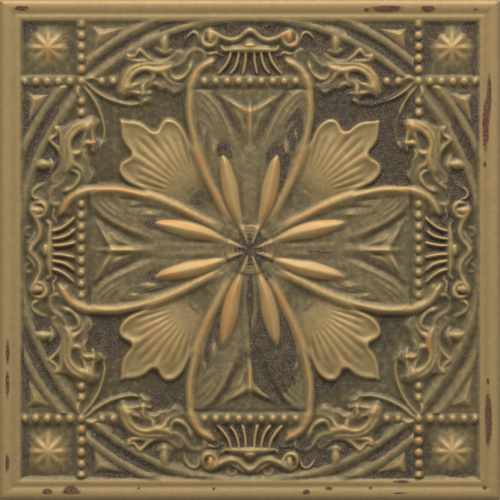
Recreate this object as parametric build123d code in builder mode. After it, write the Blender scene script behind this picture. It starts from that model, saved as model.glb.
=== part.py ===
"""Relief wall tile: one pressed, glazed and fired piece of clay.

The ornament is the same in eight mirrored parts, so each shape is drawn once in the part where
y is at least x and x is at least zero, and is then mirrored and turned about the middle.
Positions in the point lists are millimetres on a 200 mm tile and are multiplied by `unit`.
Heights are given as parts of the relief depth above the ground of the ornament.
"""
from build123d import *
import os

os.makedirs("parts", exist_ok=True)

# Driving dimensions, millimetres
tile_side = 200.0
tile_thickness = 10.0
relief_depth = 3.0
rim_width = 9.5
edge_round = 2.2
back_round = 0.8
strip_line = 67.3
strip_width = 5.6
bead_diameter = 4.0
bead_pitch = 4.55
inner_ring_radius = 92.6
outer_ring_radius = 99.2
ring_width = 3.8
stem_width = 4.4
lance_width = 5.8
hub_radius = 9.6
eye_radius = 3.2
corner_line = 80.6
corner_pad_side = 17.2
key_land = 5.0
key_depth = 0.8
key_margin = 8.0

# Counts
ring_sides = 48
bead_sides = 8
hub_sides = 12
eye_sides = 8
key_count = 5
middle_beads = 4
corner_beads = 5
gap_beads = (12, 13)

# Heights of the shapes, as parts of the relief depth
rim_part = 0.66
rim_dip_part = 0.59
rim_ridge_part = 0.64
rim_foot_part = 0.12
strip_part = 0.33
corner_strip_part = 0.45
ring_part = 0.44
spandrel_part = 0.21
spandrel_top = 0.74
petal_edge_part = 0.42
petal_top = 0.78
rib_part = 0.84
rib_foot_part = 0.50
eye_part = 0.30
leaf_part = 0.32
vein_part = 0.44
stem_part = 0.70
lance_edge_part = 0.15
lance_top = 0.94
hub_part = 0.34
spoke_edge_part = 0.25
spoke_top = 0.68
axis_edge_part = 0.28
axis_top = 0.92
bar_part = 0.51
lump_part = 0.66
flute_part = 0.33
wave_part = 0.56
hook_leaf_part = 0.52
spray_part = 0.30
trunk_part = 0.80
fold_part = 0.66
curl_part = 0.57
leaflet_part = 0.58
blossom_part = 0.66
tendril_part = 0.44
corner_pad_part = 0.22
corner_top = 0.98

# Small allowances that make touching shapes overlap or keep a cut clear, millimetres
overlap = 0.5
clearance = 2.0

# Sizes that follow from them
unit = tile_side / 200.0
half_side = tile_side / 2
ground = tile_thickness - relief_depth
sink = 0.6 * relief_depth
bedding = 0.1 * relief_depth
field_edge = half_side - rim_width * unit
strip = strip_line * unit
strip_half = strip_width * unit / 2
zone_half = strip - strip_half + overlap
zone_low = strip + strip_half - overlap
zone_high = field_edge + overlap
zone_middle = (zone_low + zone_high) / 2
corner_end = (strip + field_edge + strip_half) / 2
corner_length = field_edge - strip - strip_half + 2 * overlap
key_pitch = (tile_side - (2 * key_margin - key_land) * unit) / key_count
centred = (Align.CENTER, Align.CENTER, Align.MIN)
diagonal = Plane(origin=(0, 0, 0), z_dir=(1, -1, 0))


def level(part_of_relief):
    """Height above the back of a point that stands this part of the relief above the ground."""
    return ground + relief_depth * part_of_relief


def spot(x, y, part_of_relief):
    return (x * unit, y * unit, level(part_of_relief))


def anticlockwise(points):
    """The same outline, listed so that its face looks up."""
    ahead = points[1:] + points[:1]
    turn = sum(x * next_y - next_x * y for (x, y), (next_x, next_y) in zip(points, ahead))
    return points if turn > 0 else points[::-1]


def pad(points, part_of_relief, inset=0.45, low_part=0.0):
    """Flat-topped shape whose sides slope down to whatever lies at its low level."""
    rise = level(part_of_relief) - level(low_part)
    with BuildPart() as leaf:
        with BuildSketch(Plane.XY.offset(level(low_part) - bedding)):
            with BuildLine():
                Polyline(*[(x * unit, y * unit) for x, y in anticlockwise(points)], close=True)
            make_face()
        extrude(amount=rise + bedding)
        top = leaf.faces().sort_by(Axis.Z)[-1]
        chamfer(top.edges(), length=inset * unit, length2=rise + 0.4 * bedding, reference=top)
    return leaf.part


def blade(points, width, part_of_relief, low_part=0.0):
    """Long ridge with sloping sides, pointed at both ends, along the points of its crest."""
    crest_share = 0.35
    left = []
    right = []
    for before, here, after in zip(points, points[1:], points[2:]):
        along = Vector(after[0] - before[0], after[1] - before[1]).normalized()
        aside = Vector(-along.Y, along.X) * (width / 2)
        left.append((here[0] + aside.X, here[1] + aside.Y))
        right.append((here[0] - aside.X, here[1] - aside.Y))
    rim = [points[0]] + left + [points[-1]] + right[::-1]
    return pad(rim, part_of_relief, (1 - crest_share) * width / 2, low_part)


def peak(points, base_part, apex):
    """Sharp ridges that run from the tips of a star-shaped base up to one apex."""
    base_height = level(base_part)
    with BuildPart() as star:
        with BuildSketch(Plane.XY.offset(base_height)) as base:
            with BuildLine():
                Polyline(*[(x * unit, y * unit) for x, y in points], close=True)
            make_face()
        loft(sections=[base.sketch.face(), Vertex(*spot(*apex))], ruled=True)
        extrude(base.sketch.face(), amount=base_height - ground + bedding, dir=(0, 0, -1))
    return star.part


def boss(radius, sides, foot, rise, inset, centre=(0, 0)):
    """Round shape with straight sides and a sloping shoulder."""
    shoulder = 0.8
    with BuildPart() as knob:
        with BuildSketch(Plane.XY.offset(foot - bedding)):
            with Locations(centre):
                RegularPolygon(radius, sides)
        extrude(amount=rise + bedding)
        top = knob.faces().sort_by(Axis.Z)[-1]
        chamfer(top.edges(), length=inset, length2=shoulder * rise, reference=top)
    return knob.part


def bead(x, y, base_part):
    radius = bead_diameter * unit / 2
    return boss(radius, bead_sides, level(base_part), 0.55 * radius, 0.5 * radius, (x, y))


# Square moulding of the rim, drawn across one side and cut to a mitre at both ends
rim_crest = level(rim_part)
rim_depth = rim_width * unit
rim_back = field_edge - 2 * clearance
rim_low = ground - overlap
with BuildPart() as rim_side:
    with BuildSketch(Plane.XZ):
        with BuildLine():
            Polyline(
                (rim_back, rim_low),
                (rim_back, 0),
                (half_side - back_round, 0),
                (half_side, back_round),
                (half_side, rim_crest - edge_round),
            )
            ThreePointArc(
                (half_side, rim_crest - edge_round),
                (half_side - 0.10 * rim_depth, rim_crest - 0.36 * edge_round),
                (half_side - 0.30 * rim_depth, rim_crest),
            )
            Polyline(
                (half_side - 0.30 * rim_depth, rim_crest),
                (half_side - 0.50 * rim_depth, level(rim_dip_part)),
                (half_side - 0.67 * rim_depth, level(rim_ridge_part)),
                (field_edge, level(rim_foot_part)),
                (field_edge - overlap, rim_low),
                (rim_back, rim_low),
            )
        make_face()
    extrude(amount=half_side + clearance, both=True)
    with BuildSketch(Plane.XY.offset(-overlap)):
        with BuildLine():
            mitre = half_side + clearance
            Polyline((0, 0), (mitre, mitre), (mitre, -mitre), close=True)
        make_face()
    extrude(amount=tile_thickness + clearance, mode=Mode.INTERSECT)

# Ring ridges with sloping sides, kept only between the rim and the bead strips
with BuildPart() as rings:
    half = ring_width * unit / 2
    ring_rise = level(ring_part) - ground
    for radius in (inner_ring_radius * unit, outer_ring_radius * unit):
        with BuildPart() as ring:
            with BuildSketch(Plane.XY.offset(ground - bedding)):
                RegularPolygon(radius + half, ring_sides)
                RegularPolygon(radius - half, ring_sides, mode=Mode.SUBTRACT)
            extrude(amount=ring_rise + bedding)
            top = ring.faces().sort_by(Axis.Z)[-1]
            chamfer(top.edges(), length=0.65 * half, length2=ring_rise + 0.5 * bedding, reference=top)
        add(ring.part)
    with Locations((0, zone_middle, ground)):
        Box(2 * zone_half, zone_high - zone_low, 4 * relief_depth, mode=Mode.INTERSECT)

# Low field outside the outer ring
with BuildPart() as spandrel:
    with BuildSketch(Plane.XY.offset(ground - sink)):
        with Locations((0, zone_middle)):
            Rectangle(2 * zone_half, zone_high - zone_low)
        RegularPolygon((outer_ring_radius + overlap) * unit, ring_sides, mode=Mode.SUBTRACT)
    extrude(amount=level(spandrel_part) - ground + sink)

# Domed fan petal on the diagonal, with the eye at its foot
petal_outline = [
    (9.4, 12.8), (13.8, 20.6), (20.4, 31.0), (22.8, 37.2), (24.9, 43.4), (27.0, 49.2),
    (29.6, 51.4), (31.8, 52.2), (34.6, 51.4), (37.6, 47.4), (42.0, 49.4), (46.4, 51.0), (51.2, 51.2),
]
with BuildPart() as petal:
    far_side = [(y, x) for x, y in reversed(petal_outline[:-1])]
    add(peak(petal_outline + far_side, petal_edge_part, (35.0, 35.0, petal_top)))
    with BuildSketch(Plane.XY.offset(level(eye_part))):
        with Locations((20.4 * unit, 20.4 * unit)):
            RegularPolygon(eye_radius * unit, eye_sides)
    extrude(amount=relief_depth, mode=Mode.SUBTRACT)

# Ribs of the petal
with BuildPart() as ribs:
    add(blade([(30.0, 31.2), (34.6, 36.8), (40.4, 43.8)], 2.0, rib_part, rib_foot_part))
    add(blade([(27.6, 29.6), (31.6, 36.2), (36.0, 43.2)], 2.0, rib_part, rib_foot_part))

# Leaf that lies behind the stem, with its main vein
with BuildPart() as leaf:
    add(
        pad(
            [
                (1.2, 22.0), (1.8, 36.0), (4.6, 48.0), (8.6, 55.0), (14.6, 63.0), (19.0, 64.0),
                (23.2, 60.0), (22.0, 46.0), (16.0, 31.0), (9.6, 19.0),
            ],
            leaf_part,
        )
    )
    add(blade([(8.4, 45.8), (11.4, 52.4), (15.6, 59.0), (20.8, 63.8)], 2.6, vein_part))

# Stem that rises from the hub and hooks over at the bead strip
stem_crest = [
    (7.2, 9.8), (12.8, 20.0), (17.6, 30.0), (21.4, 40.0), (23.4, 50.0),
    (23.9, 60.0), (22.4, 68.7), (18.0, 74.0), (14.6, 75.2), (11.8, 73.6),
]
with BuildPart() as stem:
    add(blade(stem_crest, stem_width, stem_part))

# Lance leaf beside the axis: crest places with their share of the full half width
lance_crest = [(5.6, 16.0, 0.7), (8.4, 28.4, 1.0), (10.3, 35.6, 0.66)]
lance_lean = Vector(0.28, 0.96).normalized()
lance_left = []
lance_right = []
for x, y, share in lance_crest:
    aside = Vector(-lance_lean.Y, lance_lean.X) * (share * lance_width / 2)
    lance_left.append((x + aside.X, y + aside.Y))
    lance_right.append((x - aside.X, y - aside.Y))
with BuildPart() as lance:
    outline = [(4.2, 10.0)] + lance_right + [(11.2, 38.0)] + lance_left[::-1]
    add(peak(outline, lance_edge_part, (8.3, 28.0, lance_top)))

# Hub: low disc with eight spokes
with BuildPart() as hub:
    add(boss(hub_radius * unit, hub_sides, ground, level(hub_part) - ground, overlap * unit))
with BuildPart() as spoke:
    add(peak([(0.4, 0.8), (2.6, 5.0), (4.2, 11.2), (1.7, 5.6)], spoke_edge_part, (2.1, 5.4, spoke_top)))

# Three-ridged peak on the axis below the bead strip
with BuildPart() as axis_star:
    side_tip = (13.0, 61.9)
    side_valley = (2.4, 53.4)
    outline = [(0, 42.0), side_valley, side_tip, (0, 61.2), (-side_tip[0], side_tip[1])]
    outline += [(-side_valley[0], side_valley[1])]
    add(peak(outline, axis_edge_part, (0, 55.6, axis_top)))

# Crest on the axis between the bead strip and the rim
with BuildPart() as crest:
    add(pad([(-9.0, 80.6), (-8.0, 79.2), (8.0, 79.2), (9.0, 80.6), (7.6, 82.8), (-7.6, 82.8)], bar_part, 0.9))
    add(pad([(-2.6, 81.6), (0, 80.2), (2.6, 81.6), (3.2, 84.6), (0, 86.2), (-3.2, 84.6)], lump_part))
with BuildPart() as crest_half:
    add(blade([(1.6, 79.8), (2.0, 75.5), (2.8, 70.0)], 1.9, flute_part))
    add(blade([(4.4, 79.8), (5.6, 75.2), (8.2, 70.0)], 1.9, flute_part))
    add(blade([(8.0, 79.8), (9.7, 75.2), (12.8, 70.0)], 1.9, flute_part))
    add(
        blade(
            [
                (-1.0, 88.6), (3.0, 86.2), (6.8, 84.2), (11.3, 85.8), (15.6, 88.0),
                (19.6, 85.8), (18.8, 82.2), (15.2, 82.0), (13.6, 84.4),
            ],
            2.4,
            wave_part,
        )
    )
    add(blade([(19.8, 83.6), (20.9, 86.8), (23.0, 87.4), (25.2, 85.6), (26.4, 82.8)], 2.4, hook_leaf_part))

# Acanthus spray over the bead strip
spray_outline = [
    (26.0, 66.4), (30.0, 63.6), (36.0, 65.0), (40.6, 59.8), (45.6, 61.4), (50.0, 62.6),
    (50.4, 70.0), (48.6, 78.0), (43.6, 80.8), (38.4, 78.2), (37.2, 83.0), (35.4, 87.4),
    (32.4, 87.4), (31.8, 81.2), (24.0, 80.4), (18.6, 79.0), (19.6, 75.4), (24.4, 73.6),
]
trunk_crest = [
    (17.2, 76.4), (20.2, 80.0), (24.6, 79.2), (30.0, 74.6), (36.5, 72.8),
    (44.0, 73.0), (50.0, 68.6), (51.2, 61.8),
]
with BuildPart() as acanthus:
    add(pad(spray_outline, spray_part))
    add(blade(trunk_crest, 3.6, trunk_part))
    add(blade([(26.2, 77.4), (30.4, 77.4), (36.4, 76.0), (43.2, 79.6), (50.2, 78.2)], 2.4, fold_part))
    add(blade([(23.4, 75.6), (24.8, 71.4), (28.8, 68.6), (32.4, 70.4), (34.8, 73.0)], 2.5, curl_part))
    add(blade([(38.4, 72.2), (41.0, 67.4), (43.0, 63.6), (42.4, 58.6)], 2.6, leaflet_part))
    add(blade([(34.0, 78.0), (34.4, 82.6), (32.4, 88.4)], 3.8, blossom_part))
    add(blade([(65.8, 67.4), (60.2, 62.0), (53.2, 59.2), (44.6, 58.8)], 2.2, tendril_part))

# Three-ridged peak in the spandrel
with BuildPart() as spandrel_peak:
    outline = [(48.8, 89.0), (57.4, 84.4), (63.0, 78.2), (62.2, 85.4), (63.0, 89.2), (58.6, 88.0)]
    add(peak(outline, spandrel_part, (59.8, 85.8, spandrel_top)))

# Corner square: a low pad with an eight-pointed star
corner_middle = corner_line * unit
star_quarter = [(8.0, 0.0), (3.7, 1.5), (4.8, 4.8), (1.5, 3.7)]
star_points = list(star_quarter)
star_points += [(-y, x) for x, y in star_quarter]
star_points += [(-x, -y) for x, y in star_quarter]
star_points += [(y, -x) for x, y in star_quarter]
with BuildPart() as corner:
    with BuildSketch(Plane.XY.offset(ground - sink)):
        with Locations((corner_middle, corner_middle)):
            Rectangle(corner_pad_side * unit, corner_pad_side * unit)
    extrude(amount=level(corner_pad_part) - ground + sink)
    outline = [(x + corner_line, y + corner_line) for x, y in star_points]
    add(peak(outline, corner_pad_part, (corner_line, corner_line, corner_top)))

# One eighth of the ornament, then one quarter with its mirror image
with BuildPart() as quarter:
    add([stem.part, lance.part, leaf.part])
    add(acanthus.part)
    add([spoke.part, ribs.part, crest_half.part, spandrel_peak.part])
    mirror(about=diagonal)
    add(petal.part)
    add(corner.part)

# Places of the beads along one strip, counted from the middle and from where two strips cross
pitch = bead_pitch * unit
bead_spots = [(n * pitch, strip, strip_part) for n in range(-middle_beads, middle_beads + 1)]
bead_spots += [(side * n * pitch, strip, strip_part) for n in gap_beads for side in (-1, 1)]
beyond = [strip + n * pitch for n in range(1, corner_beads + 1)]
bead_spots += [(side * x, strip, corner_strip_part) for x in beyond for side in (-1, 1)]
bead_spots += [(strip, strip, corner_strip_part)]

with BuildPart() as tile:
    Box(2 * (field_edge - 2 * overlap), 2 * (field_edge - 2 * overlap), ground, align=centred)
    with PolarLocations(0, 4):
        add(rim_side.part)
    with PolarLocations(0, 4):
        with Locations((0, strip, ground - sink)):
            Box(2 * (field_edge + overlap), 2 * strip_half, level(strip_part) - ground + sink, align=centred)
    with PolarLocations(0, 4):
        with Locations((strip, strip, ground - sink)):
            Box(2 * strip_half, 2 * strip_half, level(corner_strip_part) - ground + sink, align=centred)
        with Locations((corner_end, strip, ground - sink), (-corner_end, strip, ground - sink)):
            Box(corner_length, 2 * strip_half, level(corner_strip_part) - ground + sink, align=centred)
    with PolarLocations(0, 4):
        add([rings.part, spandrel.part])
    with PolarLocations(0, 4):
        add([axis_star.part, crest.part])
    add(hub.part)
    with PolarLocations(0, 4):
        add(quarter.part)
    with PolarLocations(0, 4):
        add([bead(x, y, part) for x, y, part in bead_spots])
    with GridLocations(key_pitch, key_pitch, key_count, key_count):
        Box(key_pitch - key_land * unit, key_pitch - key_land * unit, 2 * key_depth, mode=Mode.SUBTRACT)

tile.part.label = "tile"
export_step(tile.part, "parts/tile.step")
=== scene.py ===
"""Looks of the relief wall tile: one pressed, glazed and fired piece of clay.

The face is a height field. Its ornament repeats in eight mirrored parts, so every shape is drawn once,
where y is at least x and x is at least zero, in millimetres from the middle of a 200 mm tile. Heights
are millimetres above the dark ground of the relief.
"""
import math

import bpy
import numpy as np
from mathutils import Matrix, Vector
from mathutils.geometry import delaunay_2d_cdt


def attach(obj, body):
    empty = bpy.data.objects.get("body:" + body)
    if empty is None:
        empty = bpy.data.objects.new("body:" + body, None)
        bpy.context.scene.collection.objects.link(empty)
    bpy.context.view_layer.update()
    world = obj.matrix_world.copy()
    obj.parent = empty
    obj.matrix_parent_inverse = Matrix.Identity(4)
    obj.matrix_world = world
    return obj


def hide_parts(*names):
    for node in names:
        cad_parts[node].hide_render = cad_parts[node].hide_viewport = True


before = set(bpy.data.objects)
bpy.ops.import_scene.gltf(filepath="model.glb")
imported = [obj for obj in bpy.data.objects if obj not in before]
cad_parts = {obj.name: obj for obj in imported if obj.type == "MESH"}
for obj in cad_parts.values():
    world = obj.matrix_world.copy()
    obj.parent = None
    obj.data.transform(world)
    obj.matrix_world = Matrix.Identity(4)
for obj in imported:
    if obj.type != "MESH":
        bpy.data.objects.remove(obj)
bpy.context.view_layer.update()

# Main lines of the ornament
HALF_SIDE = 100.0
STRIP = 67.3
STRIP_EDGE = 69.0
CROSSING = 65.5
BEAD_PITCH = 4.55
INNER_RING = 92.6
OUTER_RING = 99.2
CORNER = 80.6
# A shape has no effect further from its line than this many of its widths
REACH = 2.6


def smooth_line(points, per_span=8, closed=False):
    """Catmull-Rom line through the points, which may carry further values after x and y."""
    p = np.array(points, float)
    if closed:
        p = np.vstack([p[-1], p, p[0], p[1]])
    else:
        p = np.vstack([2 * p[0] - p[1], p, 2 * p[-1] - p[-2]])
    t = np.linspace(0, 1, per_span, endpoint=False)[:, None]
    spans = [
        0.5 * (2 * b + (c - a) * t + (2 * a - 5 * b + 4 * c - d) * t**2 + (3 * b - a - 3 * c + d) * t**3)
        for a, b, c, d in zip(p, p[1:], p[2:], p[3:])
    ]
    line = np.vstack(spans)
    return line if closed else np.vstack([line, p[-2]])


def ease(t):
    """Goes from 0 to 1 with soft ends."""
    t = np.clip(t, 0, 1)
    return t * t * (3 - 2 * t)


def bell(t):
    return np.exp(-(t**2))


class Relief:
    """Heights over a set of points, built up shape by shape."""

    def __init__(self, x, y):
        self.x = x
        self.y = y
        self.z = np.zeros_like(x)

    def near(self, line, reach):
        low = line[:, :2].min(0) - reach
        high = line[:, :2].max(0) + reach
        inside = (self.x > low[0]) & (self.x < high[0]) & (self.y > low[1]) & (self.y < high[1])
        return np.nonzero(inside)[0]

    def along(self, line, at):
        """Distance to a line, whether the point lies on its left, and the line's further values there."""
        px = self.x[at][:, None]
        py = self.y[at][:, None]
        ax, ay = line[:-1, 0], line[:-1, 1]
        dx, dy = np.diff(line[:, 0]), np.diff(line[:, 1])
        t = ((px - ax) * dx + (py - ay) * dy) / np.maximum(dx * dx + dy * dy, 1e-12)
        t = np.clip(t, 0, 1)
        gap = (px - ax - t * dx) ** 2 + (py - ay - t * dy) ** 2
        best = gap.argmin(1)
        rows = np.arange(len(best))
        t = t[rows, best][:, None]
        values = line[best, 2:] * (1 - t) + line[best + 1, 2:] * t
        turn = dx[best] * (self.y[at] - ay[best]) - dy[best] * (self.x[at] - ax[best])
        return np.sqrt(gap[rows, best]), turn > 0, values

    def widths_off(self, points, left, right):
        """Points near a line of x, y, width and height, how many widths off it they lie, and its heights."""
        line = smooth_line(points)
        at = self.near(line, REACH * line[:, 2].max() * max(left, right))
        gap, on_left, values = self.along(line, at)
        return at, gap / (np.maximum(values[:, 0], 0.05) * np.where(on_left, left, right)), values[:, 1]

    def raise_to(self, at, height, blend=0.15):
        """Joins a shape to what is there, with a small fillet such as glaze leaves."""
        old = self.z[at]
        fillet = np.maximum(0, blend - np.abs(old - height)) ** 2 / (4 * blend)
        self.z[at] = np.maximum(old, height) + fillet

    def ridge(self, points, foot):
        """Soft ridge that rises from a foot, through points of x, y, width and crest."""
        at, t, crest = self.widths_off(points, 1, 1)
        drop = 0.8 * np.maximum(0, t - 1.4) ** 2
        self.raise_to(at, foot + (crest - foot) * bell(t) - drop)

    def add(self, points, left=1, right=1):
        """Soft ridge laid on what is there, through x, y, width and height. Below zero it is a furrow."""
        at, t, height = self.widths_off(points, left, right)
        self.z[at] += height * bell(t)

    def inside(self, line, at):
        """Signed distance to a closed line, negative inside."""
        ring = np.vstack([line, line[:1]])
        gap = self.along(ring, at)[0]
        px = self.x[at][:, None]
        py = self.y[at][:, None]
        ax, ay, bx, by = ring[:-1, 0], ring[:-1, 1], ring[1:, 0], ring[1:, 1]
        crosses = (ay > py) != (by > py)
        with np.errstate(divide="ignore", invalid="ignore"):
            hit = px < (bx - ax) * (py - ay) / (by - ay) + ax
        odd = (crosses & hit).sum(1) % 2 == 1
        return np.where(odd, -gap, gap)

    def level(self, points, height, edge, smooth=True):
        """Brings what lies inside an outline to a height or to a surface, over a soft border."""
        line = smooth_line(points, 5, closed=True) if smooth else np.array(points, float)
        at = self.near(line, edge + 0.3)
        share = ease(0.5 - self.inside(line, at) / (2 * edge))
        top = height(self.x[at], self.y[at]) if callable(height) else height
        self.z[at] += (top - self.z[at]) * share

    def around(self, x, y, radius, stretch=1, angle=0):
        """Points near a spot, and the square of how many radii off it they lie."""
        at = np.nonzero((self.x - x) ** 2 + (self.y - y) ** 2 < (REACH * radius * max(stretch, 1)) ** 2)[0]
        c, s = math.cos(math.radians(angle)), math.sin(math.radians(angle))
        dx, dy = self.x[at] - x, self.y[at] - y
        return at, ((dx * c + dy * s) / (radius * stretch)) ** 2 + ((dy * c - dx * s) / radius) ** 2

    def mound(self, x, y, radius, height, stretch=1, angle=0):
        """Soft hill laid on what is there. Below zero it is a hollow."""
        at, t = self.around(x, y, radius, stretch, angle)
        self.z[at] += height * np.exp(-t)

    def shapes(self, rows, draw):
        """Draws a table: a row that starts with a list is a line, and any other row is a mound."""
        for row in rows:
            if isinstance(row[0], list):
                draw(*row)
            else:
                self.mound(*row)


# Section of the moulded rim: distance from the middle and height
RIM = [
    (88.2, -1.2), (89, -0.3), (89.8, 0.25), (90.5, 0.65), (91.2, 1.02), (91.9, 1.3), (92.5, 1.44),
    (93.1, 1.45), (93.7, 1.3), (94.3, 1.22), (95, 1.35), (95.8, 1.57), (96.6, 1.69), (97.3, 1.72),
    (97.9, 1.67), (98.4, 1.56), (98.9, 1.36), (99.4, 1.02), (99.8, 0.32), (HALF_SIDE, -0.5),
]


def draw_frame(face):
    """Rim, bead strips, rings and corner squares."""
    x, y = face.x, face.y
    radius = np.hypot(x, y)
    side_zone = (y > STRIP_EDGE) & (x < CROSSING)
    face.z[side_zone] += 0.1
    face.z[(x > STRIP_EDGE) & (y > STRIP_EDGE)] += 0.3

    # Rings, which show only between the bead strips and the rim
    for middle, width, crest in ((INNER_RING, 2.35, 1.35), (OUTER_RING, 2.35, 1.45)):
        at = np.nonzero(side_zone & (np.abs(radius - middle) < 5))[0]
        face.raise_to(at, crest * bell((radius[at] - middle) / width))
    at = np.nonzero(side_zone & (radius > OUTER_RING + 0.6))[0]
    face.raise_to(at, 0.62 * ease((radius[at] - OUTER_RING) / 1.6), 0.3)

    # Bead strips, thicker beside the corner squares
    for across, along in ((y, x), (x, y)):
        gap = np.abs(across - STRIP)
        at = np.nonzero(gap < 4.6)[0]
        level = 0.6 + 0.2 / (1 + np.exp(-(along[at] - 64.6) / 0.3))
        face.raise_to(at, level * (1 - ease((gap[at] - 1.1) / 3)), 0.12)

    # Low pad of the corner square
    at = np.nonzero((x > 70) & (y > 70))[0]
    off = np.maximum(np.abs(x[at] - CORNER), np.abs(y[at] - CORNER))
    face.raise_to(at, 0.5 - 0.3 * ease((off - 6.4) / 3))

    # The moulding of the rim alone counts beyond its inner foot
    profile = smooth_line(RIM)
    moulding = np.interp(y, profile[:, 0], profile[:, 1])
    face.raise_to(np.arange(len(x)), moulding)
    face.z = np.where(y > 93, moulding, face.z)


def draw_beads(face):
    spots = [(n * BEAD_PITCH, STRIP, 1.9) for n in (0, 1, 2, 3, 4, 12, 13)] + [(STRIP, STRIP, 2.1)]
    for n in range(1, 6):
        spots += [(STRIP + n * BEAD_PITCH, STRIP, 2.15), (STRIP, STRIP + n * BEAD_PITCH, 2.15)]
    for x, y, top in spots:
        at, t = face.around(x, y, 1.95)
        face.raise_to(at, top - 1.35 * t, 0.1)
    # Small leaves that hold the bead where the strips cross
    leaf = [(61.2, 68, 0.9, 1.3), (63, 68.8, 1.1, 1.8), (65, 68.3, 0.9, 1.5)]
    face.ridge(leaf, 0.6)
    face.ridge([(y, x, width, crest) for x, y, width, crest in leaf], 0.6)


def spoke(middle, degrees, stops):
    """Points of x, y, width and height along a straight line out of a middle."""
    c, s = math.cos(math.radians(degrees)), math.sin(math.radians(degrees))
    return [(middle + away * c, middle + away * s, width, height) for away, width, height in stops]


def draw_corner_star(face):
    """Eight soft rays on a dome, with a short bar in each gap."""
    dx, dy = face.x - CORNER, face.y - CORNER
    reach = np.hypot(dx, dy)
    at = np.nonzero(reach < 10)[0]
    reach = reach[at]
    ray = np.abs(np.degrees(np.arctan2(dy[at], dx[at])) % 45 - 22.5) / 22.5
    crest = np.interp(reach, [0, 2, 4, 6, 8, 10], [3.5, 3, 2.25, 1.45, 0.8, 0.3])
    valley = np.interp(reach, [0, 2, 3, 4.3, 6.4, 8, 10], [3.5, 2.5, 1.85, 1.1, 0.6, 0.35, 0])
    face.raise_to(at, valley + (crest - valley) * ray)
    for step in range(8):
        bar = [(5.6, 0.7, 0.05), (7, 0.7, 0.22), (8.6, 0.7, 0.22), (10, 0.7, 0.05)]
        face.add(spoke(CORNER, 45 * step + 22.5, bar))


def draw_spandrel(face):
    """Sharp-ridged peak between the rings and the corner: its foot is a ring of x, y and height."""
    x0, y0, top = 59.8, 85.8, 2.1
    foot = [(49.6, 88.9, 0.75), (58.6, 88.2, 0.65), (62.8, 89.1, 0.7), (62.3, 85.6, 0.75),
            (62.6, 78.6, 0.7), (57, 84, 1)]
    reach = max(math.hypot(x - x0, y - y0) for x, y, _ in foot)
    at = np.nonzero((face.x - x0) ** 2 + (face.y - y0) ** 2 < reach**2)[0]
    dx, dy = face.x[at] - x0, face.y[at] - y0
    height = np.full(len(at), -9.0)
    for a, b in zip(foot, foot[1:] + foot[:1]):
        ax, ay, bx, by = a[0] - x0, a[1] - y0, b[0] - x0, b[1] - y0
        turn = ax * by - ay * bx
        u = (dx * by - dy * bx) / turn
        v = (ax * dy - ay * dx) / turn
        facet = (u >= -1e-9) & (v >= -1e-9)
        height[facet] = (top + u * (a[2] - top) + v * (b[2] - top))[facet]
    face.raise_to(at, height, 0.1)


# Stem: x and y
STEM = [
    (8.9, 12), (9.8, 14), (10.8, 16), (12.8, 20), (14.75, 24), (16.8, 28), (18.5, 32), (20.1, 36), (21.4, 40),
    (22.5, 44), (23.4, 48), (24.15, 52), (24.4, 56), (24.3, 60), (23.9, 64), (22.9, 67.4), (21.7, 70.2),
    (20, 72.2), (18.2, 73.6), (16.4, 74.5), (14.8, 74.9), (13.3, 74.3), (12.2, 73.4),
]
# Lance leaf: x, y, half width and crest
LANCE = [
    (3.9, 10.2, 0.9, 1.1), (5, 13.6, 1.9, 2.1), (6.3, 17.4, 2.7, 3), (7.2, 21, 3.25, 3.35),
    (7.9, 24.4, 3.5, 3.45), (8.7, 28, 3.3, 3.45), (9.5, 32, 2.7, 3.1), (10.1, 35, 1.9, 2.5),
    (10.7, 36.9, 0.9, 1.5),
]
# Edge of the petal and the lip rolled along it, from the stem to the diagonal
PETAL_EDGE = [
    (25, 44.6), (26, 47), (27.2, 49.1), (29, 50.8), (30.9, 51.9), (32.8, 52.2), (34.3, 51.7), (35.4, 50.6),
    (36.2, 49.1), (36.9, 47.75), (38.1, 47.2), (39.6, 47.75), (41.5, 49.3), (43.8, 50.6), (46, 51.2),
    (49.4, 51.35), (51.6, 51.6),
]
PETAL_LIP = [
    (24.6, 40), (25.4, 43.6), (26.4, 46.4), (27.7, 48.7), (29.3, 50.3), (31, 51.3), (32.7, 51.5),
    (33.9, 51.1), (34.9, 50.1), (35.7, 48.7), (36.7, 47.2), (38.2, 46.6), (39.9, 47.2), (41.8, 48.8),
    (44, 50), (46.4, 50.6), (49.4, 50.8), (51.2, 51.2),
]


def leaf_ground(x, y):
    """Broad leaf between the axis and the stem: high towards the middle, low along the stem."""
    stem = np.array(STEM[:15])
    share = x / np.interp(y, stem[:, 1], stem[:, 0])
    middle = np.interp(y, [10, 24, 40, 60], [0.95, 1, 1, 0.95])
    outer = np.interp(y, [10, 20, 40, 56, 62], [0.85, 0.8, 0.7, 0.6, 0.7])
    return middle + (outer - middle) * ease((share - 0.45) / 0.5)


def petal_ground(x, y):
    """Domed fan with a hollow at its foot, which falls away to both sides."""
    along = (x + y) / math.sqrt(2)
    across = np.abs(x - y) / math.sqrt(2)
    crest = np.interp(
        along,
        [10, 14, 21, 25.5, 29.7, 34, 36.8, 42.4, 46.7, 49.5, 52.3, 56.6, 60.8, 65, 69.3, 74],
        [1, 1.05, 0.75, 0.25, 0.25, 0.65, 1.1, 1.6, 2, 2.1, 1.85, 1.4, 0.95, 0.65, 0.45, 0.4],
    )
    half = np.interp(along, [14, 25, 36, 48, 56], [2.5, 4.5, 8, 11, 12])
    side = np.interp(along, [14, 25, 36, 50, 58, 70], [0.95, 0.8, 0.8, 0.95, 0.8, 0.4])
    return crest + (side - crest) * np.clip(across / half, 0, 1) ** 2


def petal_outline():
    side = [(x + 0.2, y) for x, y in STEM[:9]] + [(23.2, 41.6)]
    half = [(2.0, 2.0), (5.6, 7.6)] + side + PETAL_EDGE
    return half + [(y, x) for x, y in reversed(half[1:-1])]


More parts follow.
